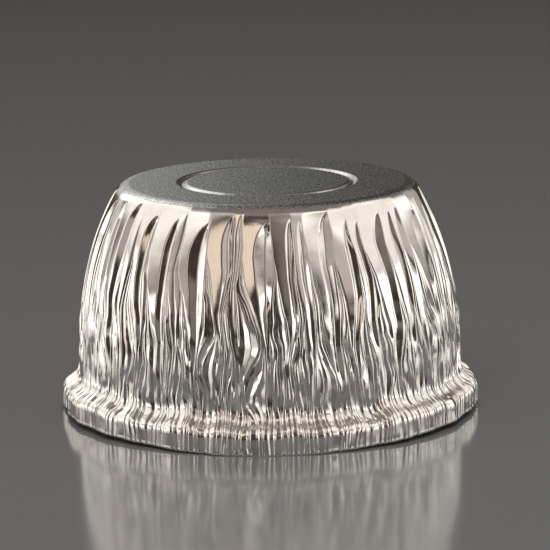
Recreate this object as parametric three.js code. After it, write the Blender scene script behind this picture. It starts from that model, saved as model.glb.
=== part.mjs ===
// Foil pudding basin: one sheet of aluminium foil pressed to shape, standing upside down on its rim.
// Millimetres, +Z up. The origin lies on the axis, in the plane that the rim's edge stands on.
// The sheet is built zone by zone, cut along the lines where the press changes its form.
import * as THREE from "three";

// Driving dimensions of the whole basin
const RIM_DIAMETER = 125; // outside of the collar
const HEIGHT = 68.5; // from the rim's edge to the outside of the base
const FOIL = 0.1; // thickness of the sheet

// Base: a flat panel with a groove pressed round it
const BASE_FLAT_DIAMETER = 82.6;
const RING_INNER_DIAMETER = 47.8;
const RING_WIDTH = 3.4;
const RING_DEPTH = 0.8;

// Heel: the rounded corner that leads from the base into the wall. Its upper part is satin like the base.
const HEEL_RADIUS = 5;
const SATIN_TURN = THREE.MathUtils.degToRad(35);
const HEEL_TURN = THREE.MathUtils.degToRad(61);

// Rim: a sloping ledge, an upright collar and the folded edge
const LEDGE_WIDTH = 4.9;
const LEDGE_SLOPE = THREE.MathUtils.degToRad(40);
const FOOT_FILLET = 2.4;
const CORNER_RADIUS = 1.8;
const COLLAR_HEIGHT = 6.3; // from the edge up to the ledge's corner
const HEM_HEIGHT = 1;
const HEM_LAYERS = 2; // the edge is folded back flat on itself
const RIM_FEET = 3;
const RIM_LIFT = 1.5; // the thin rim stands on its feet and bows up between them

// Folds: under the heel a flute is a flat stave with a groove beside it. Going down, a second groove splits
// the stave, so that twice as many pleats reach the rim.
const FLUTES = 52;
const GROOVE_DEPTH = 1;
const PLEAT_DEPTH = 0.7; // of both grooves, from the foot to the edge
const DEPTH_SPREAD = 0.2; // how much one flute differs in depth from the next
const FLUTE_STRAY = 0.32; // how far a flute lies off its even place, as a share of the pitch
const STAVE_SHARE = 0.46; // of a flute's width, under the heel
const STAVE_SPREAD = 0.14; // how much one stave differs in width from the next
const GROOVE_NARROWING = 0.45; // share of its width that a groove loses on the way to the foot
const VALLEY_LEAN = 0.14; // how far a valley lies off its groove's middle, as a share of the groove

// Facets
const CREASES_PER_FLUTE = 4;
const CREASES = FLUTES * CREASES_PER_FLUTE;
const SMOOTH_SEGMENTS = 56;
const RING_ROWS = 4;
const HEEL_ROWS = 2;
const HALF_WALL_ROWS = 2;

// Radii that follow from the sizes above
const rimRadius = RIM_DIAMETER / 2;
const footRadius = rimRadius - LEDGE_WIDTH;
const flatRadius = BASE_FLAT_DIAMETER / 2;
const ringInner = RING_INNER_DIAMETER / 2;
const ringOuter = ringInner + RING_WIDTH;

const point = (radius, height) => new THREE.Vector2(radius, height);

// Lines of the sheet's outer face, each running outwards from the axis and then down

// A groove with a rounded floor: one cosine wave across the ring's width.
function ringLine() {
  return Array.from({ length: RING_ROWS + 1 }, (_, row) => {
    const across = row / RING_ROWS;
    const dip = (RING_DEPTH * (1 - Math.cos(2 * Math.PI * across))) / 2;
    return point(ringInner + RING_WIDTH * across, HEIGHT - dip);
  });
}

// A part of the heel's arc, which turns from level at the base to the slope at which the wall begins.
function heelLine(startTurn, endTurn) {
  const level = Math.PI / 2;
  const arc = new THREE.Path();
  arc.absarc(flatRadius, HEIGHT - HEEL_RADIUS, HEEL_RADIUS, level - startTurn, level - endTurn, true);
  return arc.getSpacedPoints(HEEL_ROWS);
}

// A fillet out of the wall, the sloping ledge, and a corner down into the collar. Each rounding is one chord.
function ledgeLine() {
  const turn = Math.PI / 2 - LEDGE_SLOPE;
  const filletRun = FOOT_FILLET * (1 - Math.cos(turn));
  const cornerRun = CORNER_RADIUS * (1 - Math.cos(turn));
  const slopeRun = LEDGE_WIDTH - filletRun - cornerRun;
  const slopeFoot = COLLAR_HEIGHT + CORNER_RADIUS * Math.sin(turn);
  const slopeTop = slopeFoot + slopeRun * Math.tan(LEDGE_SLOPE);
  return [
    point(footRadius, slopeTop + FOOT_FILLET * Math.sin(turn)),
    point(footRadius + filletRun, slopeTop),
    point(rimRadius - cornerRun, slopeFoot),
    point(rimRadius, COLLAR_HEIGHT),
  ];
}

// One bulging curve that leaves along the heel's slope and arrives upright at the ledge.
function wallLine(heelEnd, foot) {
  const reach = (heelEnd.y - foot.y) / 3;
  const belowHeel = point(heelEnd.x + reach / Math.tan(HEEL_TURN), heelEnd.y - reach);
  const aboveFoot = point(foot.x, foot.y + reach);
  const curve = new THREE.CubicBezierCurve(heelEnd, belowHeel, aboveFoot, foot);
  return curve.getPoints(2 * HALF_WALL_ROWS);
}

// The same line set in by the foil's thickness. Its ends are cut level where the sheet is steep and
// upright where it is flat, so that neighbouring zones share their cut.
function innerLine(outer) {
  return outer.map((p, k) => {
    const before = outer[Math.max(k - 1, 0)];
    const after = outer[Math.min(k + 1, outer.length - 1)];
    const along = after.clone().sub(before).normalize();
    if (before !== p && after !== p) return point(p.x + FOIL * along.y, p.y - FOIL * along.x);
    const steep = Math.abs(along.y) > Math.abs(along.x);
    return steep ? point(p.x + FOIL / along.y, p.y) : point(p.x, p.y - FOIL / along.x);
  });
}

// The section through a zone of the sheet, as a closed loop.
function sheetLoop(outer) {
  const inner = innerLine(outer);
  return [...inner, ...outer.toReversed(), inner[0]];
}

const heel = heelLine(SATIN_TURN, HEEL_TURN);
const ledge = ledgeLine();
const wall = wallLine(heel.at(-1), ledge[0]);

// Heights between which the folds grow and fade
const wallTop = wall[0].y;
const fluteFull = wall[1].y;
const wallMiddle = wall[HALF_WALL_ROWS].y;
const wallFoot = wall.at(-1).y;

// Grooves start under the heel. Pleats take over on the way down the wall and reach the edge.
const rising = THREE.MathUtils.smoothstep;
const grooveStart = (height) => 1 - rising(height, fluteFull, wallTop);
const pleatShare = (height) => 1 - rising(height, wallFoot, wallTop);

// A spread of values from -1 to 1 that doesn't repeat from one flute to the next.
const scatter = (flute, rate) => Math.sin((flute % FLUTES) * rate);
const STRAY_RATE = 4.1;
const STAVE_RATE = 2.3;
const LEAN_RATE = 5.9;
const DEPTH_RATE = 7.3;

// The four creases of a flute: ridge, split, end of the stave and valley. A place is a share of the flute's
// width, and a depth is measured in from the sheet's outer face.
function fluteCreases(flute, height) {
  const pleats = pleatShare(height);
  const stave = STAVE_SHARE + STAVE_SPREAD * scatter(flute, STAVE_RATE);
  const groove = (1 - stave) * (1 - GROOVE_NARROWING * pleats);
  const valley = 1 - groove * (0.5 + VALLEY_LEAN * scatter(flute, LEAN_RATE));
  const spread = 1 + DEPTH_SPREAD * scatter(flute, DEPTH_RATE);
  const grooveDepth = THREE.MathUtils.lerp(GROOVE_DEPTH, PLEAT_DEPTH, pleats) * grooveStart(height);
  return [
    { place: 0, depth: 0 },
    { place: (1 - groove) / 2, depth: PLEAT_DEPTH * pleats * spread },
    { place: 1 - groove, depth: 0 },
    { place: valley, depth: grooveDepth * spread },
  ];
}

// Where a flute begins, as an angle. Flutes lie more evenly towards the edge.
function fluteAngle(flute, height) {
  const stray = FLUTE_STRAY * (1 - pleatShare(height) / 2) * scatter(flute, STRAY_RATE);
  return ((flute + stray) * 2 * Math.PI) / FLUTES;
}

// A crease line of the folded sheet at a height.
function foldedCrease(crease, height) {
  const flute = Math.floor(crease / CREASES_PER_FLUTE);
  const { place, depth } = fluteCreases(flute, height)[crease % CREASES_PER_FLUTE];
  const start = fluteAngle(flute, height);
  const end = fluteAngle(flute + 1, height);
  return { angle: THREE.MathUtils.lerp(start, end, place), depth };
}

// A line of the smooth, round zones above the folds.
function roundCrease(crease) {
  return { angle: (crease * 2 * Math.PI) / SMOOTH_SEGMENTS, depth: 0 };
}

// Lift of the rim between its feet, fading out up the wall. One foot lies on the -Y side.
function rimLift(angle, height) {
  const bow = (1 - Math.cos(RIM_FEET * (angle + Math.PI / 2))) / 2;
  return RIM_LIFT * bow * (1 - rising(height, 0, wallMiddle));
}

// Splits the outer face's quads along the same diagonals as the inner face's, so that folded facets
// stay parallel through the sheet.
function matchDiagonals(geometry, rows) {
  const index = geometry.getIndex();
  for (let quad = 0; quad < index.count / 6; quad++) {
    if (quad % rows < rows / 2) continue;
    const [a, b, d, c] = [0, 1, 2, 3].map((corner) => index.getX(6 * quad + corner));
    [a, b, c, a, c, d].forEach((vertex, k) => index.setX(6 * quad + k, vertex));
  }
}

// Turns a section round the axis, then brings each of its lines to where the crease lies.
function pressed(name, material, loop, creases, creaseAt) {
  const geometry = new THREE.LatheGeometry(loop, creases);
  matchDiagonals(geometry, loop.length - 1);
  const position = geometry.getAttribute("position");
  for (let k = 0; k < position.count; k++) {
    const { x: radius, y: height } = loop[k % loop.length];
    const { angle, depth } = creaseAt(Math.floor(k / loop.length) % creases, height);
    const folded = radius - depth;
    position.setXYZ(k, folded * Math.cos(angle), folded * Math.sin(angle), height + rimLift(angle, height));
  }
  geometry.computeVertexNormals();
  const mesh = new THREE.Mesh(geometry, material);
  mesh.name = name;
  return mesh;
}

// Finishes: the base is satin up to its rounded edge, and the folded sheet is bright
const satinFoil = new THREE.MeshStandardMaterial({ color: 0xb4b5b6, roughness: 0.42, metalness: 1 });
const brightFoil = new THREE.MeshStandardMaterial({ color: 0xd9d6d3, roughness: 0.2, metalness: 1 });

// Sections of the zones, from the middle of the base to the edge
const panelLoop = [
  point(0, HEIGHT - FOIL),
  point(ringInner, HEIGHT - FOIL),
  point(ringInner, HEIGHT),
  point(0, HEIGHT),
];
const borderLine = [point(ringOuter, HEIGHT), ...heelLine(0, SATIN_TURN)];
const upperWallLine = wall.slice(0, HALF_WALL_ROWS + 1);
const lowerWallLine = wall.slice(HALF_WALL_ROWS);
const collarLine = [ledge.at(-1), point(rimRadius, HEM_HEIGHT)];
const hemInner = rimRadius - HEM_LAYERS * FOIL;
const hemLoop = [
  point(rimRadius, HEM_HEIGHT),
  point(hemInner, HEM_HEIGHT),
  point(hemInner, FOIL),
  point(rimRadius - FOIL, 0),
  point(rimRadius, FOIL),
  point(rimRadius, HEM_HEIGHT),
];

const smooth = (name, material, loop) => pressed(name, material, loop, SMOOTH_SEGMENTS, roundCrease);
const folded = (name, loop) => pressed(name, brightFoil, loop, CREASES, foldedCrease);

const basin = new THREE.Group();
basin.add(
  smooth("centre_panel", satinFoil, panelLoop),
  smooth("pressed_ring", satinFoil, sheetLoop(ringLine())),
  smooth("base_border", satinFoil, sheetLoop(borderLine)),
  smooth("heel_band", brightFoil, sheetLoop(heel)),
  folded("upper_wall", sheetLoop(upperWallLine)),
  folded("lower_wall", sheetLoop(lowerWallLine)),
  folded("rim_shoulder", sheetLoop(ledge)),
  folded("rim_collar", sheetLoop(collarLine)),
  folded("folded_hem", hemLoop),
);

export default basin;
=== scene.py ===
# %% [markdown]
# # A foil pudding basin, upside down on its rim
# The real basin is one disc of thin aluminium foil. A press draws it over a round former: the flat
# base stays flat, and the wall has more foil than room, so the surplus gathers in folds. There are few
# broad folds below the base and many fine ones at the rim. The lesson follows the press: first the
# plain round profile, then the folds, then the finish of the metal.

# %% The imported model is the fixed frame
import math

import bpy
import numpy as np
from mathutils import Matrix, Vector


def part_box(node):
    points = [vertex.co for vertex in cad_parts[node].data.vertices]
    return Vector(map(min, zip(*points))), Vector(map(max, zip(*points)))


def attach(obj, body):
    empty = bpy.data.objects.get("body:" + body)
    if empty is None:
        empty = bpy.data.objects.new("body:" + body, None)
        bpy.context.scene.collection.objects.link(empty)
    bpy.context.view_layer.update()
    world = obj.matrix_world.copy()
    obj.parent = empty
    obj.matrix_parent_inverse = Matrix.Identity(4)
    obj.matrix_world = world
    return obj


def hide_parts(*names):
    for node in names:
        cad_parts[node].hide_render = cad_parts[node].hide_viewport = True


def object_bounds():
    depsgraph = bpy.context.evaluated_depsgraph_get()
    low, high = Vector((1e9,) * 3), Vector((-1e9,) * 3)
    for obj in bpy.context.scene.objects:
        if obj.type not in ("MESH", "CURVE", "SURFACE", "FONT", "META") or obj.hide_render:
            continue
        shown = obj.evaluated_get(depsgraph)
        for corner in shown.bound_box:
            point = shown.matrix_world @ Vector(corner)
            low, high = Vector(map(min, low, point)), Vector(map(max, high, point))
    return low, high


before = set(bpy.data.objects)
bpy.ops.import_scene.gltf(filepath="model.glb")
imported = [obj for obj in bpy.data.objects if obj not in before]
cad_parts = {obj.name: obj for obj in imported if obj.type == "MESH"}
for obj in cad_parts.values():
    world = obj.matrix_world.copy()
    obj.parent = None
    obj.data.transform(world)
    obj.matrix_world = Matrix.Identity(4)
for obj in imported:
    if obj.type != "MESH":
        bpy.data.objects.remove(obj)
cad_low, cad_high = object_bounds()
print("CAD box in mm:", [round(1000 * x, 2) for x in (*cad_low, *cad_high)])

# %% [markdown]
# ## The camera
# The photograph is taken with a long lens from a little above the basin. Place, tilt and lens come
# from the outline of the rim, the base's ring and the wall, so the same points of the basin fall on
# the same pixels. A small roll stands for a camera that wasn't quite level.

# %% Camera
MM = 0.001
CAMERA_PLACE = Vector((1.94, -829.1, 209.5)) * MM
CAMERA_TILT = math.radians(11.584)
CAMERA_ROLL = math.radians(0.787)
LENS_MM = 183.8
SENSOR_MM = 36

camera_data = bpy.data.cameras.new("camera")
camera_data.lens = LENS_MM
camera_data.sensor_width = SENSOR_MM
camera = bpy.data.objects.new("camera", camera_data)
level = Matrix.Rotation(math.pi / 2 - CAMERA_TILT, 4, "X")
roll = Matrix.Rotation(-CAMERA_ROLL, 4, "Z")
camera.matrix_world = Matrix.Translation(CAMERA_PLACE) @ level @ roll
bpy.context.scene.collection.objects.link(camera)
bpy.context.scene.camera = camera
bpy.context.scene.view_settings.view_transform = "Standard"
print("camera looks down by", round(math.degrees(CAMERA_TILT), 1), "degrees")

# %% [markdown]
# ## The studio
# Polished metal shows its surroundings more than itself, so each lamp is placed by what a facet mirrors.
# Tall boxes left and right turn the sideways facets white. Low strips stand under them: the upright lower
# wall and the collar mirror the floor, and the strips' reflection in the floor draws their light lines.
# In front, narrow cards in cream and warm grey tint single staves, with a dark gap between them. A ceiling
# card fills the ledge and the heel. A card and a box behind the basin give the satin base its gradient.
# A bare lamp has a hard edge, which bright metal would show, so every lamp fades towards its edges.

# %% Lamps with soft edges
FEATHER = 0.2
EDGE_TO_MIDDLE = 0.5


def feather(lamp):
    """Lets a lamp fade at its edges: its strength eases from 0 to 1 over a share of its width and of its
    height, and the two are multiplied."""
    lamp.use_nodes = True
    nodes, links = lamp.node_tree.nodes, lamp.node_tree.links
    place = nodes.new("ShaderNodeNewGeometry")
    across = nodes.new("ShaderNodeSeparateXYZ")
    links.new(place.outputs["Parametric"], across.inputs["Vector"])
    glow = nodes.new("ShaderNodeMath")
    glow.operation = "MULTIPLY"
    for axis, factor in zip("XY", glow.inputs):
        from_edge = nodes.new("ShaderNodeMath")
        from_edge.operation = "PINGPONG"
        from_edge.inputs[1].default_value = EDGE_TO_MIDDLE
        links.new(across.outputs[axis], from_edge.inputs[0])
        fade = nodes.new("ShaderNodeMapRange")
        fade.interpolation_type = "SMOOTHSTEP"
        fade.inputs["From Max"].default_value = FEATHER
        links.new(from_edge.outputs["Value"], fade.inputs["Value"])
        links.new(fade.outputs["Result"], factor)
    links.new(glow.outputs["Value"], nodes["Emission"].inputs["Strength"])


def soft_box(name, azimuth, elevation, distance, size, radiance, colour):
    """A rectangular lamp that faces the basin from a direction. Azimuth 0 is the camera's side and 90 the
    right. The power is radiance times pi times area, so radiance is the brightness that metal mirrors. The
    size is measured at half brightness, so the lamp itself is larger by the feather."""
    lamp = bpy.data.lights.new(name, "AREA")
    lamp.shape = "RECTANGLE"
    lamp.size, lamp.size_y = (side / (1 - FEATHER) for side in size)
    lamp.energy = radiance * math.pi * lamp.size * lamp.size_y
    lamp.color = colour
    feather(lamp)
    box = bpy.data.objects.new(name, lamp)
    turn, rise = math.radians(azimuth), math.radians(elevation)
    away = Vector((math.sin(turn) * math.cos(rise), -math.cos(turn) * math.cos(rise), math.sin(rise)))
    aim = Vector((0, 0, cad_high.z / 2))
    box.location = aim + away * distance
    box.rotation_mode = "QUATERNION"
    box.rotation_quaternion = away.to_track_quat("Z", "Y")
    box.visible_camera = False
    bpy.context.scene.collection.objects.link(box)
    return box


print("lamps fade over", FEATHER, "of their width")

# %% Soft boxes and cards
NEAR, FAR = 1.3, 1.6
WARM_WHITE = (1.0, 0.945, 0.87)
WARM_GREY = (1.0, 0.88, 0.81)
CREAM = (1.0, 0.82, 0.64)
# Each line gives azimuth, elevation, distance, size, radiance and colour.
soft_box("left_strip", -88, 6, NEAR, (2.1, 0.34), 1.45, WARM_WHITE)
soft_box("right_strip", 80, 6, NEAR, (1.8, 0.34), 1.5, WARM_WHITE)
left_box = soft_box("left_box", -110, 37, NEAR, (2.3, 1.13), 1.0, WARM_WHITE)
right_box = soft_box("right_box", 91, 37, NEAR, (1.95, 1.13), 0.93, WARM_WHITE)
right_back_box = soft_box("right_back_box", 134, 16, NEAR, (0.9, 0.7), 0.36, WARM_WHITE)
soft_box("cream_card", -24, 36, FAR, (0.26, 1.35), 0.85, CREAM)
soft_box("left_card", -50, 36, FAR, (0.7, 1.6), 0.38, WARM_GREY)
soft_box("right_card", 36, 36, FAR, (0.52, 1.6), 0.5, WARM_GREY)
soft_box("dim_card", 11, 36, FAR, (0.6, 1.6), 0.15, WARM_GREY)
soft_box("ceiling_card", 0, 88, NEAR, (2.2, 2.0), 0.15, WARM_GREY)
back_card = soft_box("back_card", -155, 22, NEAR, (1.0, 0.8), 0.52, WARM_WHITE)
print("lamps:", [lamp.name for lamp in bpy.data.lights])

# %% [markdown]
# ## World and floor
# The room behind the lamps is dark and a little brown, which is what deep grooves show. The floor is plain,
# pale and glossy, so the rim has something to stand on. The tall boxes would leave bright patches on it.
# Light linking names what a lamp lights, so they skip the floor, and one broad lamp overhead lights the
# floor alone.

# %% World and floor
ROOM_BROWN = (0.046, 0.036, 0.029, 1)
FLOOR_HALF = 4.0
FLOOR_GREY = (0.33, 0.36, 0.39, 1)
FLOOR_IOR = 2.0
FLOOR_ROUGHNESS = 0.13
world = bpy.data.worlds.new("dark_studio")
world.use_nodes = True
world.node_tree.nodes["Background"].inputs["Color"].default_value = ROOM_BROWN
bpy.context.scene.world = world

floor_mesh = bpy.data.meshes.new("floor")
corners = [(x * FLOOR_HALF, y * FLOOR_HALF, 0) for x, y in ((-1, -1), (1, -1), (1, 1), (-1, 1))]
floor_mesh.from_pydata(corners, [], [(0, 1, 2, 3)])
floor = bpy.data.objects.new("floor", floor_mesh)
floor_paint = bpy.data.materials.new("pale_floor")
floor_paint.use_nodes = True
floor_shader = floor_paint.node_tree.nodes["Principled BSDF"]
floor_shader.inputs["Base Color"].default_value = FLOOR_GREY
floor_shader.inputs["IOR"].default_value = FLOOR_IOR
floor_shader.inputs["Roughness"].default_value = FLOOR_ROUGHNESS
floor_mesh.materials.append(floor_paint)
bpy.context.scene.collection.objects.link(floor)
print("floor:", round(2 * FLOOR_HALF, 1), "m square")

# %% What each lamp lights
FLOOR_LAMP_HEIGHT = 1.5
floor_lamp = soft_box("floor_lamp", 0, 88, FLOOR_LAMP_HEIGHT, (3.0, 3.0), 0.5, WARM_WHITE)
only_floor = bpy.data.collections.new("only_floor")
only_floor.objects.link(floor)
floor_lamp.light_linking.receiver_collection = only_floor
not_floor = bpy.data.collections.new("not_floor")
not_floor.objects.link(floor)
not_floor.collection_objects[0].light_linking.link_state = "EXCLUDE"
for box in (left_box, right_box, right_back_box, back_card):
    box.light_linking.receiver_collection = not_floor
print("the floor alone is lit by", floor_lamp.name)

# %% [markdown]
# ## The round profile
# Before it folds, the sheet is a surface of revolution. Its line leaves the flat base, turns over the
# heel, runs down the bulging wall, out over the ledge and down the collar. The sizes come from the packed
# model, so the new surface lies where the solids are. Only the ledge is drawn as the photograph shows it:
# flatter than in the solids, with softer bends and a foot that is a little lower. A modifier could turn
# the line round the axis, but the folds need every point of the grid, so numpy does it. All foil sizes
# below are in millimetres.

# %% Sizes from the frame
FOIL = 0.1
SATIN_TURN = 35
HEEL_TURN = 61
LEDGE_SLOPE = 29
FOOT_BEND = 4.4
CORNER_BEND = 3.2
# The lines of the ledge and the collar would meet this far above the top of the solid collar.
CORNER_RISE = 0.4


def box_mm(node):
    """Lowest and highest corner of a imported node, in millimetres."""
    return [np.array(corner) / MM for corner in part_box(node)]


def sine(degrees):
    """The sine of an angle in degrees."""
    return math.sin(math.radians(degrees))


rim_radius = cad_high.x / MM
base_height = cad_high.z / MM
ring_inner = box_mm("centre_panel")[1][0]
ring_outer = box_mm("pressed_ring")[1][0]
ring_depth = base_height - FOIL - box_mm("pressed_ring")[0][2]
satin_radius = box_mm("base_border")[1][0]
wall_top_radius = box_mm("heel_band")[1][0]
heel_radius = (wall_top_radius - satin_radius) / (sine(HEEL_TURN) - sine(SATIN_TURN))
flat_radius = wall_top_radius - heel_radius * sine(HEEL_TURN)
wall_middle = box_mm("upper_wall")[0][2]
foot_radius = box_mm("lower_wall")[1][0]
foot_height = box_mm("lower_wall")[0][2]
collar_top = box_mm("rim_shoulder")[0][2]
hem_top = box_mm("rim_collar")[0][2]
print("flat base", round(2 * flat_radius, 1), "rim", round(2 * rim_radius, 1), "mm across")
print("heel radius", round(heel_radius, 2), "mm")


# %% Lines of the profile
def arc(centre, radius, start, end, steps=48):
    """Points on a circle in the plane of radius and height, from one angle to another, in degrees."""
    turn = np.radians(np.linspace(start, end, steps))
    return np.stack([centre[0] + radius * np.cos(turn), centre[1] + radius * np.sin(turn)], axis=1)


def bezier(start, pull_start, pull_end, end, steps=96):
    """A cubic curve: the four points weighted by the Bernstein polynomials."""
    t = np.linspace(0, 1, steps)[:, None]
    points = [np.array(p) for p in (start, pull_start, pull_end, end)]
    weights = [(1 - t) ** 3, 3 * t * (1 - t) ** 2, 3 * t**2 * (1 - t), t**3]
    return sum(w * p for w, p in zip(weights, points))


heel_centre = (flat_radius, base_height - heel_radius)
satin_line = arc(heel_centre, heel_radius, 90, 90 - SATIN_TURN)
heel_line = arc(heel_centre, heel_radius, 90 - SATIN_TURN, 90 - HEEL_TURN)

ledge_turn = 90 - LEDGE_SLOPE
ledge_drop = (rim_radius - foot_radius) * math.tan(math.radians(LEDGE_SLOPE))
bend_reach = math.tan(math.radians(ledge_turn / 2))
corner_height = collar_top + CORNER_RISE
collar_start = corner_height - CORNER_BEND * bend_reach
bend_height = corner_height + ledge_drop + FOOT_BEND * bend_reach
wall_top = heel_line[-1]
reach = (wall_top[1] - foot_height) / 3
below_heel = wall_top + reach * np.array([1 / math.tan(math.radians(HEEL_TURN)), -1])
wall_line = bezier(wall_top, below_heel, (foot_radius, foot_height + reach), (foot_radius, bend_height))

fillet = arc((foot_radius + FOOT_BEND, bend_height), FOOT_BEND, 180, 180 + ledge_turn)
corner = arc((rim_radius - CORNER_BEND, collar_start), CORNER_BEND, ledge_turn, 0)
ledge_line = np.concatenate([fillet, corner])
collar_line = np.array([(rim_radius, collar_start), (rim_radius, hem_top)])
print("ledge drops", round(ledge_drop, 1), "mm, foot bend starts at height", round(bend_height, 1), "mm")


# %% Rows down the sheet
def run_along(path):
    """How far each point of a path lies from its start: the sum of the steps up to it."""
    return np.concatenate([[0], np.cumsum(np.linalg.norm(np.diff(path, axis=0), axis=1))])


def even_rows(path, rows):
    """The same path with its points at even distances along it."""
    along = run_along(path)
    places = np.linspace(0, along[-1], rows + 1)
    return np.stack([np.interp(places, along, path[:, k]) for k in (0, 1)], axis=1)


SATIN_ROWS, HEEL_ROWS, WALL_ROWS, LEDGE_ROWS, COLLAR_ROWS = 8, 7, 76, 20, 14
line = np.concatenate(
    [
        even_rows(satin_line, SATIN_ROWS),
        even_rows(heel_line, HEEL_ROWS)[1:],
        even_rows(wall_line, WALL_ROWS)[1:],
        even_rows(ledge_line, LEDGE_ROWS)[1:],
        even_rows(collar_line, COLLAR_ROWS)[1:],
    ]
)
satin_row = SATIN_ROWS
top_row = satin_row + HEEL_ROWS
foot_row = top_row + WALL_ROWS
rim_row = foot_row + LEDGE_ROWS
last_row = rim_row + COLLAR_ROWS

down = run_along(line)
down -= down[top_row]
foot_down = down[foot_row]
tangent = np.gradient(line, down, axis=0)
tangent /= np.linalg.norm(tangent, axis=1, keepdims=True)
outwards = np.stack([-tangent[:, 1], tangent[:, 0]], axis=1)
print("rows:", len(line), "wall length", round(foot_down, 1), "mm, sheet", round(down[-1], 1), "mm")

# %% [markdown]
# ## The folds
# A fold is a cell: a flat stave, and beside it a groove with a sharp valley. The main cells are the flutes,
# and they lie where the solids' flutes lie. Going down, a flute's stave tapers to a point, and four side
# cells, shut at first, open beside it one after the other. A groove's depth follows its width, so a cell
# that closes again runs out in a single line. That gives the branching that real foil has, and fine pleats
# of even depth at the rim. A noise texture could displace the wall too, but it has no straight creases.

# %% Chance and soft steps
FLUTES = 52
CELLS = 5
rng = np.random.default_rng(11)
far_down = down[:, None, None]
flute = np.arange(FLUTES)[None, :, None]


def ease(x, low, high):
    """A soft step: 0 below low, 1 above high, and 3t^2 - 2t^3 between them."""
    t = np.clip((x - low) / (high - low), 0, 1)
    return t * t * (3 - 2 * t)


def drift(spacing, cells=CELLS, soft=False):
    """Random values from -1 to 1 for each cell: knots at a spacing down the sheet, with straight or soft
    runs between them. Each cell's knots start at another height."""
    place = (far_down - down[0]) / spacing + rng.uniform(0, 1, (1, FLUTES, cells))
    knot = place.astype(int)
    knots = rng.uniform(-1, 1, (knot.max() + 2, FLUTES, cells))
    here = np.take_along_axis(knots, knot, axis=0)
    there = np.take_along_axis(knots, knot + 1, axis=0)
    share = ease(place - knot, 0, 1) if soft else place - knot
    return here + (there - here) * share


def each_cell(low, high):
    """One random value for each cell, the same all the way down."""
    return rng.uniform(low, high, (1, FLUTES, CELLS))


def scatter(rate):
    """One value from -1 to 1 for each flute: the sine of its number times a rate, as in the solids."""
    return np.sin(flute * rate)


print("flutes:", FLUTES, "with", CELLS, "cells each, rows from", round(down[0], 1), "mm")

# %% Zones down the wall and the lines of the flutes
# A zone starts and is complete at these distances down the wall. At the rim the folds are calmer.
CRUMPLE_START, CRUMPLE_FULL = 20, 42
RIM_ABOVE, RIM_BELOW = 2, 3
RIM_CALM = 0.6
# Flutes stray by a share of their width, as in the solids, and sway by another on their way down.
FLUTE_STRAY, STRAY_RATE = 0.32, 4.1
SWAY, SWAY_LENGTH = 0.2, 12
SWAY_START, SWAY_FULL = 2, 12

crumpled = ease(far_down, CRUMPLE_START, CRUMPLE_FULL)
pleated = 1 - ease(line[:, 1], foot_height, wall_top[1])[:, None, None]
at_rim = ease(far_down, foot_down - RIM_ABOVE, foot_down + RIM_BELOW)
lively = crumpled * (1 - RIM_CALM * at_rim)

stray = FLUTE_STRAY * scatter(STRAY_RATE) * (1 - pleated / 2)
stray = stray + SWAY * drift(SWAY_LENGTH, 1) * ease(far_down, SWAY_START, SWAY_FULL)
flute_start = (flute + stray) * 2 * math.pi / FLUTES
flute_end = np.roll(flute_start, -1, axis=1)
flute_end[:, -1] += 2 * math.pi
flute_width = flute_end - flute_start
flute_mm = line[:, :1, None] * flute_width
print("flutes:", round(float(flute_mm.min()), 1), "to", round(float(flute_mm.max()), 1), "mm wide")

# %% Cells that open and close
# A shut side cell keeps this share of its flute.
SHUT = 0.012
TAPER, TAPER_START = 0.76, 12
# Where staves come to a point, where side cells start to open, and how long they take to open.
POINTS = 34, 50
BIRTHS = 12, 36
OPENINGS = 8, 18
# How much the widths change at random, and the distances from one change to the next.
MAIN_UNREST, SIDE_UNREST, CRUMPLE_UNREST = 0.25, 0.6, 1.3
SLOW_UNREST, QUICK_UNREST = 13, 9

main = np.arange(CELLS) == CELLS - 1
point = rng.uniform(*POINTS, (1, FLUTES, 1))
tapered = np.clip((far_down - TAPER_START) / (point - TAPER_START), 0, 1)
main_share = 1 - (CELLS - 1) * SHUT - TAPER * tapered
main_share = main_share * (1 + MAIN_UNREST * lively * drift(QUICK_UNREST, 1))
birth = each_cell(*BIRTHS)
opened = ease(far_down, birth, birth + each_cell(*OPENINGS))
restless = SIDE_UNREST * drift(SLOW_UNREST) + CRUMPLE_UNREST * lively * drift(QUICK_UNREST)
weight = np.where(main, 0, SHUT + opened * np.exp(restless))
side_share = (1 - main_share) * weight / weight.sum(axis=2, keepdims=True)
cell_share = np.where(main, main_share, side_share)
cell_width = flute_width * cell_share
ridge_angle = flute_start + flute_width * (np.cumsum(cell_share, axis=2) - cell_share)
width_mm = line[:, :1, None] * cell_width
print("cells:", FLUTES * CELLS, "widest", round(float(width_mm.max()), 1), "mm")

# %% [markdown]
# ## Staves, grooves and valleys
# On the real wall each flute starts at a tip under the heel, and its groove widens from there like a leaf.
# The valley leans to one side, so the two faces of a groove mirror different lamps, and one is light where
# the other is dark. Every valley could be modelled by hand. Here each is a share of its cell's width, so
# all of them follow when the cells open and close.

# %% Staves
# Where the grooves have their tips, and how they widen from there.
TIPS = -1.6, 3.2
LEAF_LENGTH, LEAF_POWER = 9, 0.35
# The share of a cell that its stave takes: in a flute, in a side cell, in the crumple and at the rim.
STAVE_SHARE, STAVE_SPREAD, STAVE_RATE = 0.46, 0.14, 2.3
SIDE_STAVES = 0.3, 0.62
CRUMPLED_STAVE, STAVE_UNREST, STAVE_LENGTH = 0.28, 0.16, 8
RIM_STAVES = 0.42, 0.66
# A shut groove keeps a hair's width, so that no two creases coincide.
HAIRLINE = 0.04

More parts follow.
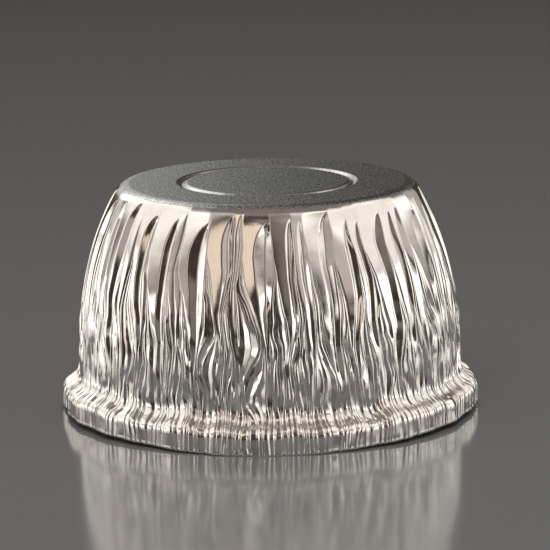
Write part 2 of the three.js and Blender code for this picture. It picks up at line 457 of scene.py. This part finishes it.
tip = each_cell(*TIPS)
leaf = ease(far_down, tip, tip + LEAF_LENGTH) ** LEAF_POWER
flute_stave = STAVE_SHARE + STAVE_SPREAD * scatter(STAVE_RATE)
upper_stave = np.where(main, flute_stave, each_cell(*SIDE_STAVES))
lower_stave = CRUMPLED_STAVE + STAVE_UNREST * drift(STAVE_LENGTH)
stave = upper_stave * (1 - crumpled) + lower_stave * crumpled
stave = stave * (1 - at_rim) + each_cell(*RIM_STAVES) * at_rim
stave = 1 - (1 - stave) * (HAIRLINE + (1 - HAIRLINE) * leaf)
groove_angle = ridge_angle + cell_width * stave
groove_width = cell_width * (1 - stave)
print("staves take", round(float(stave.min()), 2), "to", round(float(stave.max()), 2), "of a cell")

# %% Grooves and their valleys
DEEPEST = 1.4
# How far a valley lies from the middle of its groove, as a share of the groove's width.
VALLEY_LEAN, LEAN_RATE = 0.14, 5.9
SIDE_LEAN = 0.2
VALLEY_UNREST, VALLEY_LENGTH = 0.12, 13
# The depth for each millimetre of a groove's narrower side.
STEEPNESS = 0.6, 1.5
STEEP_UNREST, STEEP_LENGTH = 0.25, 9
UPPER_STEEP, CRUMPLE_EASE, RIM_EASE = 1.4, 0.48, 0.1
TIP_RUN = 1

lean = np.where(main, -VALLEY_LEAN * scatter(LEAN_RATE), each_cell(-SIDE_LEAN, SIDE_LEAN))
valley_place = 1 / 2 + lean * (1 - crumpled / 2) + VALLEY_UNREST * drift(VALLEY_LENGTH)
valley_angle = groove_angle + groove_width * valley_place
narrow_side = line[:, :1, None] * groove_width * np.minimum(valley_place, 1 - valley_place)
steepness = each_cell(*STEEPNESS) * (1 + STEEP_UNREST * drift(STEEP_LENGTH))
steepness = steepness * (UPPER_STEEP - CRUMPLE_EASE * crumpled) * (1 - RIM_EASE * at_rim)
depth = DEEPEST * np.tanh(steepness * narrow_side / DEEPEST) * ease(far_down, tip, tip + TIP_RUN)
print("deepest valley:", round(float(depth.max()), 2), "mm")

# %% [markdown]
# ## Crumple
# Lower down the foil has been pushed together, so ridges wander in and out and small dents lie between
# them. A sculpting brush could make them one at a time. Here every crease gets its own chance heights, in
# slow runs for the ridges and in quick ones for the dents, and narrow cells get less of both.

# %% Heights of the creases
WANDER, WANDER_LENGTH = 0.5, 6.5
# Cells that are broader than this get nearly all of the wander.
BROAD_CELL = 1.6
# A stave's slope across its width.
YAW = 0.16

broad = np.tanh(width_mm / BROAD_CELL)
wander = WANDER * lively * broad
ridge_height = wander * drift(WANDER_LENGTH, soft=True)
yaw = each_cell(-YAW, YAW) * leaf
groove_height = ridge_height + yaw * width_mm * stave
mean_height = (ridge_height + groove_height) / 2
valley_height = mean_height - depth + wander / 2 * drift(WANDER_LENGTH, soft=True)


def by_crease(*creases):
    """Rows of creases: the ridge, the groove's start and the valley of each cell, in turn all the way
    round."""
    return np.stack(creases, axis=3).reshape(len(down), -1)


angles = by_crease(ridge_angle, groove_angle, valley_angle)
heights = by_crease(ridge_height, groove_height, valley_height)
print("creases:", angles.shape[1], "in", len(angles), "rows")

# %% Ragged foot and small dents
RAGGED = 0.3
FOOT_REACH, FOOT_PAST, FOOT_CALM = 8, 2, 0.6
CRUMPLE, CRUMPLE_LENGTH = 0.2, 3
CREASES = 3

rim_down = down[rim_row]
near_foot = ease(far_down, foot_down - FOOT_REACH, foot_down)
near_foot = near_foot * (1 - FOOT_CALM * ease(far_down, foot_down + FOOT_PAST, rim_down))
near_foot = near_foot * (1 - ease(far_down, rim_down, down[-1]))
ragged = by_crease(*[each_cell(-RAGGED, RAGGED) * near_foot] * CREASES)
crumple = CRUMPLE * crumpled * (1 - at_rim) * broad
heights = heights + by_crease(*[crumple * drift(CRUMPLE_LENGTH) for _ in range(CREASES)])
lowest, highest = float(heights.min()), float(heights.max())
print("crease heights:", round(lowest, 2), "to", round(highest, 2), "mm")

# %% [markdown]
# ## The sheet as one surface
# Foil spans flat from crease to crease. Each facet gets three columns of the grid: one on its crease, and
# one a little inside either end, so that a facet shades flat and its edge is a thin rounded line, a bit
# rounder near the base. The heel stays round. Handling has bent the rim: slow waves push the collar in and
# out, let the foot sag and lift the edge between three feet. The whole sheet is one array of points, and
# its normals are worked out once for all, so the pieces that are cut from it later meet without a seam.

# %% Columns of the facets
EDGE, ROUNDER = 0.17, 0.18
WIDEST_INSET = 0.3
COLUMNS_PER_FACET = 3


def next_round(values, turn=0.0):
    """The next crease's values for each crease, with a full turn added past the last one."""
    return np.concatenate([values[:, 1:], values[:, :1] + turn], axis=1)


gap = line[:, :1] * (next_round(angles, 2 * math.pi) - angles)
edge = EDGE + ROUNDER * (1 - crumpled[:, :, 0])
inset = np.minimum(WIDEST_INSET, edge / gap)


def over_facets(values, turn=0.0):
    """Values on the columns: on each crease, then a little past it, then a little before the next."""
    step = next_round(values, turn) - values
    columns = np.stack([values, values + inset * step, values + (1 - inset) * step], axis=2)
    return columns.reshape(len(values), -1)


print("facets:", gap.shape[1], "narrowest", round(float(gap.min()), 3), "mm")

# %% Bends from handling
RIM_FEET = 3
RIM_LIFT = 1.5
RIM_DENT = 0.6
RIM_WAVES = 7, 17, 29
FOOT_SAG = 1.2
FOOT_WAVES = 11, 23, 37
FRONT = -math.pi / 2


def rim_lift(angle, z):
    """The rim stands on three feet and bows up between them, less and less up the wall."""
    bow = (1 - np.cos(RIM_FEET * (angle - FRONT))) / 2
    return RIM_LIFT * bow * (1 - ease(z, 0, wall_middle))


def dents(angle, *counts):
    """Slow dents from handling: the mean of sine waves with these numbers of waves to a turn."""
    return sum(np.sin(count * angle + count) for count in counts) / len(counts)


heights = heights + RIM_DENT * at_rim[:, :, 0] * dents(angles, *RIM_WAVES)
sag = ragged + FOOT_SAG * near_foot[:, :, 0] * dents(angles, *FOOT_WAVES)
print("foot sags by up to", round(float(-sag.min()), 2), "mm")

# %% Points of the folded sheet
# Above the first of these places down the wall the sheet is round, and below the second facets are flat.
ROUND_ABOVE, FLAT_BELOW = -2, 7
radius = line[:, :1] + outwards[:, :1] * heights
column_angle = over_facets(angles, 2 * math.pi)
column_radius = over_facets(radius)
round_plan = np.stack([column_radius * np.cos(column_angle), column_radius * np.sin(column_angle)], axis=2)
flat_plan = np.stack([over_facets(radius * np.cos(angles)), over_facets(radius * np.sin(angles))], axis=2)
flatness = ease(far_down, ROUND_ABOVE, FLAT_BELOW)
plan = round_plan * (1 - flatness) + flat_plan * flatness
z = over_facets(line[:, 1:] + outwards[:, 1:] * heights + sag)
z = z + rim_lift(column_angle, z)
sheet = np.concatenate([plan, z[:, :, None]], axis=2)
# A crease's own column moves half-way towards its neighbours, which rounds the edge.
beside = (np.roll(sheet, 1, axis=1) + np.roll(sheet, -1, axis=1)) / 2
sheet[:, ::COLUMNS_PER_FACET] = ((sheet + beside) / 2)[:, ::COLUMNS_PER_FACET]
print("sheet grid:", sheet.shape[:2], "lowest point", round(float(sheet[..., 2].min()), 3), "mm")


# %% Normals of the folded sheet
def grid_normals(points):
    """Unit normals: the cross product of the steps down the rows and round the columns."""
    down_step = np.gradient(points, axis=0)
    round_step = np.roll(points, -1, axis=1) - np.roll(points, 1, axis=1)
    normal = np.cross(down_step, round_step)
    return normal / np.linalg.norm(normal, axis=2, keepdims=True)


normals = grid_normals(sheet)
print("normals:", normals.shape[0] * normals.shape[1])

# %% [markdown]
# ## Finishes
# The press squeezes the base between two plates with a fine grain, so it is satin, and the tools that draw
# the ring and roll the edge rub them smoother. The wall is drawn through the air and keeps the mill's
# bright face, with faint dents. Each finish varies in colour and gloss from place to place, and a tiny
# bump carries the grain. Nodes do that without a picture, so the grain stays sharp at any distance.

# %% Recipe for a foil finish
CLOUD_DETAIL, GRAIN_DETAIL = 4, 2
PATCH_LOW, PATCH_HIGH = 0.4, 0.6


def foil_material(name, dark, light, gloss_range, cloud_size, grain_size, grain_height):
    """Bare metal. One noise, sharpened, varies colour and roughness from cloud to cloud. Another noise is
    the grain. Sizes and the grain's height are in millimetres."""
    material = bpy.data.materials.new(name)
    material.use_nodes = True
    nodes, links = material.node_tree.nodes, material.node_tree.links
    shader = nodes["Principled BSDF"]
    shader.inputs["Metallic"].default_value = 1.0
    place = nodes.new("ShaderNodeTexCoord")

    clouds = nodes.new("ShaderNodeTexNoise")
    clouds.inputs["Scale"].default_value = 1 / (cloud_size * MM)
    clouds.inputs["Detail"].default_value = CLOUD_DETAIL
    links.new(place.outputs["Object"], clouds.inputs["Vector"])
    patches = nodes.new("ShaderNodeMapRange")
    patches.inputs["From Min"].default_value = PATCH_LOW
    patches.inputs["From Max"].default_value = PATCH_HIGH
    links.new(clouds.outputs["Fac"], patches.inputs["Value"])
    tint = nodes.new("ShaderNodeMix")
    tint.data_type = "RGBA"
    tint.inputs["A"].default_value = (*dark, 1)
    tint.inputs["B"].default_value = (*light, 1)
    links.new(patches.outputs["Result"], tint.inputs["Factor"])
    links.new(tint.outputs["Result"], shader.inputs["Base Color"])
    gloss = nodes.new("ShaderNodeMapRange")
    gloss.inputs["To Min"].default_value = gloss_range[0]
    gloss.inputs["To Max"].default_value = gloss_range[1]
    links.new(patches.outputs["Result"], gloss.inputs["Value"])
    links.new(gloss.outputs["Result"], shader.inputs["Roughness"])

    grain = nodes.new("ShaderNodeTexNoise")
    grain.inputs["Scale"].default_value = 1 / (grain_size * MM)
    grain.inputs["Detail"].default_value = GRAIN_DETAIL
    links.new(place.outputs["Object"], grain.inputs["Vector"])
    bump = nodes.new("ShaderNodeBump")
    bump.inputs["Strength"].default_value = 1
    bump.inputs["Distance"].default_value = grain_height * MM
    links.new(grain.outputs["Fac"], bump.inputs["Height"])
    links.new(bump.outputs["Normal"], shader.inputs["Normal"])
    return material


print("clouds are sharpened between", PATCH_LOW, "and", PATCH_HIGH)

# %% Foil finishes
DULL_BRIGHT, PURE_BRIGHT = (0.86, 0.84, 0.82), (0.93, 0.915, 0.9)
SATIN_PIT, SATIN_GRAIN = (0.25, 0.29, 0.335), (0.86, 0.95, 1.0)
EDGE_PIT, EDGE_GRAIN = (0.42, 0.45, 0.485), (0.86, 0.92, 0.98)
RUBBED_PIT, RUBBED_GRAIN = (0.58, 0.61, 0.64), (0.86, 0.9, 0.94)
# Each line gives the colours of pit and grain, the range of roughness, the sizes of clouds and of grain,
# and the grain's height.
bright_foil = foil_material("bright_foil", DULL_BRIGHT, PURE_BRIGHT, (0.06, 0.12), 5, 0.9, 0.006)
satin_foil = foil_material("satin_foil", SATIN_PIT, SATIN_GRAIN, (0.27, 0.37), 0.6, 0.8, 0.08)
edge_satin = foil_material("edge_satin", EDGE_PIT, EDGE_GRAIN, (0.24, 0.32), 0.6, 0.8, 0.03)
rubbed_satin = foil_material("rubbed_satin", RUBBED_PIT, RUBBED_GRAIN, (0.2, 0.27), 0.6, 0.8, 0.015)
print("materials:", bright_foil.name, satin_foil.name, edge_satin.name, rubbed_satin.name)

# %% [markdown]
# ## From the sheet to pieces
# Each piece is a band of the sheet with the foil's thickness. A Solidify modifier could add it, but moving
# every point inwards along the shared normals keeps neighbouring bands exactly joined. The bands end where
# the solids end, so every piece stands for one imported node.

# %% Closed shells from the grid
def put_mesh(name, points, faces, point_normals, material, slot, *nodes):
    """Makes a piece of the basin from points in millimetres, quads and normals, riding on the one body."""
    mesh = bpy.data.meshes.new(name)
    mesh.vertices.add(len(points))
    mesh.vertices.foreach_set("co", (points * MM).astype(np.float32).ravel())
    mesh.loops.add(faces.size)
    mesh.loops.foreach_set("vertex_index", faces.astype(np.int32).ravel())
    mesh.polygons.add(len(faces))
    mesh.polygons.foreach_set("loop_start", np.arange(0, faces.size, 4, dtype=np.int32))
    mesh.polygons.foreach_set("use_smooth", np.ones(len(faces), dtype=bool))
    mesh.update(calc_edges=True)
    mesh.normals_split_custom_set_from_vertices(point_normals)
    mesh.materials.append(material)
    piece = bpy.data.objects.new(name, mesh)
    bpy.context.scene.collection.objects.link(piece)
    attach(piece, "root")
    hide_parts(*nodes)
    print(name, "has", 2 * len(faces), "triangles")


def ring_quads(rows, columns, first=0):
    """Quads of a grid that closes round its columns, as point numbers: down, then on round."""
    row, column = np.meshgrid(np.arange(rows - 1), np.arange(columns), indexing="ij")
    here = first + row * columns + column
    beside = first + row * columns + (column + 1) % columns
    return np.stack([here, here + columns, beside + columns, beside], axis=2).reshape(-1, 4)


def foil_shell(name, points, point_normals, material, slot, *nodes):
    """A band of the sheet with its thickness: outer face, inner face and the two cut edges."""
    rows, columns = points.shape[:2]
    size = rows * columns
    inner = points - FOIL * point_normals
    both = np.concatenate([points, inner]).reshape(-1, 3)
    both_normals = np.concatenate([point_normals, -point_normals]).reshape(-1, 3)
    outer_faces = ring_quads(rows, columns)
    inner_faces = ring_quads(rows, columns, size)[:, ::-1]
    first = np.arange(columns)
    after = np.roll(first, -1)
    last = first + size - columns
    last_after = after + size - columns
    top_edge = np.stack([first, after, after + size, first + size], axis=1)
    bottom_edge = np.stack([last, last + size, last_after + size, last_after], axis=1)
    faces = np.concatenate([outer_faces, inner_faces, top_edge, bottom_edge])
    put_mesh(name, both, faces, both_normals, material, slot, *nodes)


print("shells are", FOIL, "mm thick")

# %% [markdown]
# ## Heel, wall, ledge and collar
# On the real basin these are one unbroken face: the bright corner below the base, the fluted and the
# crumpled half of the wall, the ledge round the foot and the upright collar. Each could be made on its
# own, but then the folds would have to be matched at every border. Cut from one grid, each fold runs on
# from piece to piece. Each half of the wall is cut in two, which keeps the pieces light.

# %% Heel, wall, ledge and collar
middle_row = top_row + int(np.argmin(np.abs(line[top_row:foot_row, 1] - wall_middle)))
upper_row = (top_row + middle_row) // 2
lower_row = (middle_row + foot_row) // 2
bands = [
    ("heel", satin_row, top_row, "heel_band"),
    ("flute_tips", top_row, upper_row, "upper_wall"),
    ("flutes", upper_row, middle_row, "upper_wall"),
    ("crumpled_wall", middle_row, lower_row, "lower_wall"),
    ("foot_pleats", lower_row, foot_row, "lower_wall"),
    ("ledge", foot_row, rim_row, "rim_shoulder"),
    ("collar", rim_row, last_row, "rim_collar"),
]
for name, first, last, node in bands:
    rows = slice(first, last + 1)
    foil_shell(name, sheet[rows], normals[rows], bright_foil, "bright_foil", node)

# %% [markdown]
# ## The hem
# The cut edge of the disc would be sharp, so the press folds it back on itself. From outside it is a
# narrow bead along the pleated collar. A bevelled curve could make the bead, but it would cut across the
# pleats. Here its section is a flat loop that follows the collar's last row, so the pleats run into it.
# The loop is given as distances inwards, in millimetres, and downwards, as shares of the hem's height.

# %% Hem
HEM_IN = np.array([0.0, -0.02, -0.03, 0.0, 0.1, 0.24, 0.32, 0.3, 0.26])
HEM_DOWN = np.array([0.0, 0.3, 0.68, 0.91, 1.0, 0.93, 0.68, 0.3, 0.0])
LEVEL, UPRIGHT = np.array([1, 1, 0]), np.array([0, 0, 1])

hem_out = normals[last_row] * LEVEL
hem_out /= np.linalg.norm(hem_out, axis=1, keepdims=True)
inwards = HEM_IN[:, None, None] * hem_out
downwards = (HEM_DOWN * hem_top)[:, None, None] * UPRIGHT
hem = sheet[last_row] - inwards - downwards
hem_rows, hem_columns = hem.shape[:2]
# The loop's first row stands once more at its end while the normals are taken, and the last row is joined
# to the first one.
hem_normals = grid_normals(np.concatenate([hem, hem[:1]]))[:-1].reshape(-1, 3)
hem_first = np.arange(hem_columns)
hem_after = np.roll(hem_first, -1)
to_last = (hem_rows - 1) * hem_columns
closing = np.stack([hem_first + to_last, hem_first, hem_after, hem_after + to_last], axis=1)
hem_faces = np.concatenate([ring_quads(hem_rows, hem_columns), closing])
hem_points = hem.reshape(-1, 3)
put_mesh("hem", hem_points, hem_faces, hem_normals, bright_foil, "bright_foil", "folded_hem")

# %% [markdown]
# ## The base
# The base has a flat middle, a shallow groove round it that stiffens it, and a border. The groove is one
# cosine wave across its width. Foil this thin is never quite flat, so the panel sinks by a few hundredths
# of a millimetre in a slow wave, which softens what it mirrors.

# %% Groove, border and rolled edge
BASE_COLUMNS = 360
SLACK = 0.05
SLACK_X, SLACK_Y = (5.1, 0.7), (6.3, 1.9)
CALM_WIDTH = 4
GROOVE_ROWS, BORDER_ROWS = 25, 13
base_angle = np.linspace(0, 2 * math.pi, BASE_COLUMNS, endpoint=False)


def slack(x, y):
    """Depth of the slow waves in the flat foil: a product of two sines, each with a length and a start,
    never above the plane."""
    wave = np.sin(x / SLACK_X[0] + SLACK_X[1]) * np.sin(y / SLACK_Y[0] + SLACK_Y[1])
    return SLACK * (1 + wave) / 2


def turned(path):
    """A path in the plane of radius and height, turned round the axis, with the foil's slack, which
    runs out before the rolled edge."""
    x = path[:, :1] * np.cos(base_angle)
    y = path[:, :1] * np.sin(base_angle)
    share = ease(np.hypot(x, y), flat_radius, flat_radius - CALM_WIDTH)
    return np.stack([x, y, path[:, 1:] - slack(x, y) * share], axis=2)


def flat_piece(name, path, material, node):
    """A round piece of the base: its path turned round the axis, with the foil's thickness."""
    points = turned(path)
    foil_shell(name, points, grid_normals(points), material, "satin_foil", node)


across = np.linspace(0, 1, GROOVE_ROWS)
dip = ring_depth * (1 - np.cos(2 * math.pi * across)) / 2
groove = np.stack([ring_inner + (ring_outer - ring_inner) * across, base_height - dip], axis=1)
border_radius = np.linspace(ring_outer, flat_radius, BORDER_ROWS)
border = np.stack([border_radius, np.full(BORDER_ROWS, base_height)], axis=1)
flat_piece("groove", groove, rubbed_satin, "pressed_ring")
flat_piece("border", border, satin_foil, "base_border")
rolled = slice(0, satin_row + 1)
foil_shell("rolled_edge", sheet[rolled], normals[rolled], edge_satin, "satin_foil", "base_border")

# %% [markdown]
# ## The middle panel
# The panel inside the groove is a disc. Made from rings, it would have a pole in its centre, where thin
# triangles meet and mirror badly. A square grid is pressed into the disc instead: each point moves in by
# as much as the other direction asks, so no pole is left and the slow waves stay smooth.

# %% Grid of the middle panel
PANEL_GRID = 91
side = np.linspace(-1, 1, PANEL_GRID)
u, v = np.meshgrid(side, side, indexing="ij")
disc_x = ring_inner * u * np.sqrt(1 - v**2 / 2)
disc_y = ring_inner * v * np.sqrt(1 - u**2 / 2)
disc_top = np.stack([disc_x, disc_y, base_height - slack(disc_x, disc_y)], axis=2)
step_u, step_v = np.gradient(disc_top, axis=(0, 1))
disc_normals = np.cross(step_u, step_v)
# At the square's corners both steps run along the border, and the tiny length avoids a division by zero.
TINY = 1e-9
disc_normals /= np.maximum(np.linalg.norm(disc_normals, axis=2, keepdims=True), TINY)
print("panel grid:", disc_top.shape[:2])

# %% Middle panel
number = np.arange(PANEL_GRID**2).reshape(PANEL_GRID, PANEL_GRID)
disc_corners = [number[:-1, :-1], number[1:, :-1], number[1:, 1:], number[:-1, 1:]]
disc_faces = np.stack(disc_corners, axis=2).reshape(-1, 4)
border_loop = np.concatenate([number[0, :-1], number[:-1, -1], number[-1, :0:-1], number[:0:-1, 0]])
under = PANEL_GRID**2
next_loop = np.roll(border_loop, -1)
edge_faces = np.stack([border_loop, next_loop, next_loop + under, border_loop + under], axis=1)
panel_points = np.concatenate([disc_top, disc_top - [0, 0, FOIL]]).reshape(-1, 3)
panel_normals = np.concatenate([disc_normals, -disc_normals]).reshape(-1, 3)
panel_faces = np.concatenate([disc_faces, disc_faces[:, ::-1] + under, edge_faces])
put_mesh("middle_panel", panel_points, panel_faces, panel_normals, satin_foil, "satin_foil", "centre_panel")
